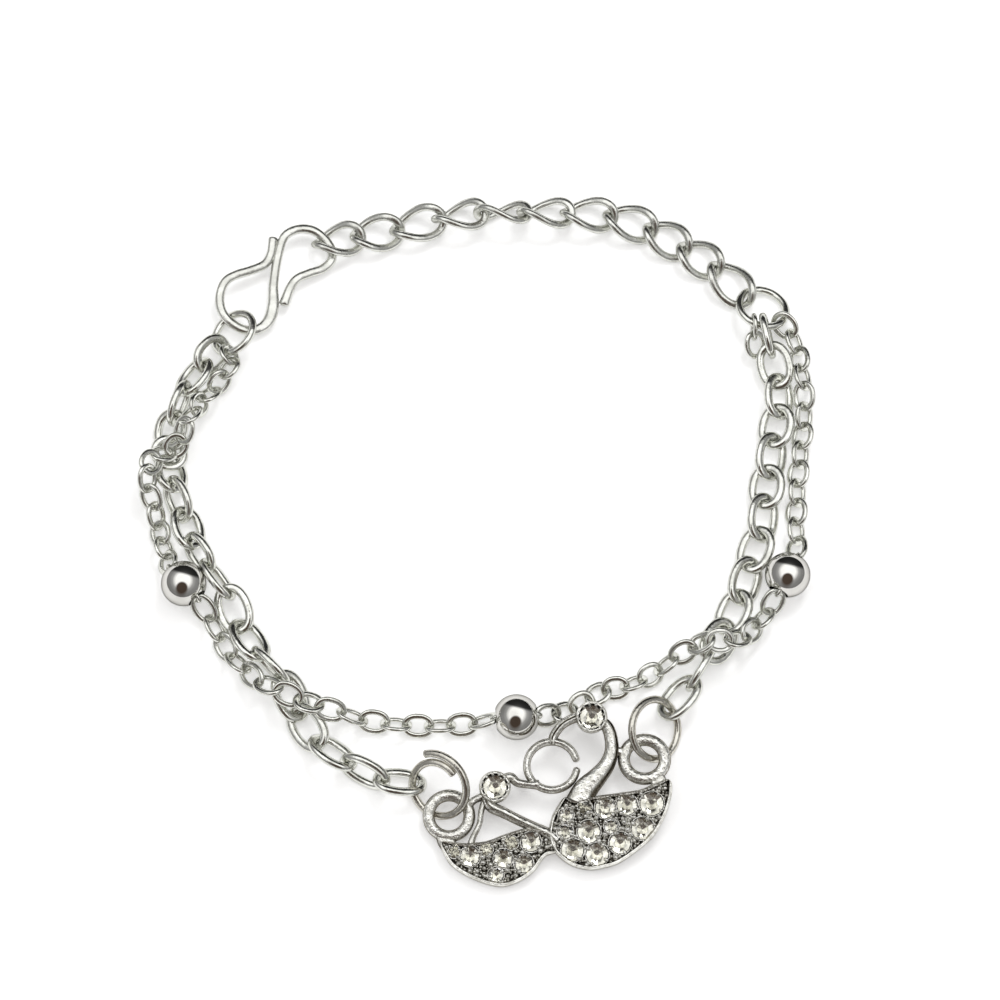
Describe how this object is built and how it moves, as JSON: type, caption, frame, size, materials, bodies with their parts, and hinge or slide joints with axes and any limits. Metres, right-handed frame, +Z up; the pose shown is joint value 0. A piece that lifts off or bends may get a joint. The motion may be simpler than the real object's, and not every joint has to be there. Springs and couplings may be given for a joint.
{
  "type": "charm bracelet",
  "caption": "Chain bracelet lying in a closed loop, with an openwork plaque of two stone-set swans, a second fine chain with polished balls, an extender and an S-shaped hook.",
  "frame": {"origin": "centre of the outline, on the surface that the bracelet lies on", "axes": "+Z up from that surface, +Y away from the plaque towards the extender, +X to the right"},
  "size_m": [0.0676, 0.0718, 0.0048],
  "materials": {
    "antiqued_silver": "cast silver, polished high spots and dark recesses",
    "polished_silver": "polished silver",
    "crystal": "cut clear crystal"
  },
  "bodies": {
    "root": {"swan_plaque": "antiqued_silver", "left_bead": "polished_silver", "centre_bead": "polished_silver", "right_bead": "polished_silver", "left_jump_ring": "polished_silver", "right_jump_ring": "polished_silver", "left_end_ring": "polished_silver", "right_end_ring": "polished_silver", "s_hook": "polished_silver", "main_chain_left": "polished_silver", "main_chain_right": "polished_silver", "fine_chain_left": "polished_silver", "fine_chain_right": "polished_silver", "extender_link_01": "polished_silver", "extender_link_02": "polished_silver", "extender_link_03": "polished_silver", "extender_link_04": "polished_silver", "extender_link_05": "polished_silver", "extender_link_06": "polished_silver", "extender_link_07": "polished_silver", "extender_link_08": "polished_silver", "extender_link_09": "polished_silver", "extender_link_10": "polished_silver", "extender_link_11": "polished_silver", "large_swan_stone_01": "crystal", "large_swan_stone_02": "crystal", "large_swan_stone_03": "crystal", "large_swan_stone_04": "crystal", "large_swan_stone_05": "crystal", "large_swan_stone_06": "crystal", "large_swan_stone_07": "crystal", "large_swan_stone_08": "crystal", "large_swan_stone_09": "crystal", "large_swan_stone_10": "crystal", "large_swan_stone_11": "crystal", "large_swan_stone_12": "crystal", "small_swan_stone_01": "crystal", "small_swan_stone_02": "crystal", "small_swan_stone_03": "crystal", "small_swan_stone_04": "crystal", "small_swan_stone_05": "crystal", "small_swan_stone_06": "crystal", "small_swan_stone_07": "crystal", "small_swan_stone_08": "crystal", "large_swan_head_stone": "crystal", "small_swan_head_stone": "crystal"}
  },
  "joints": []
}
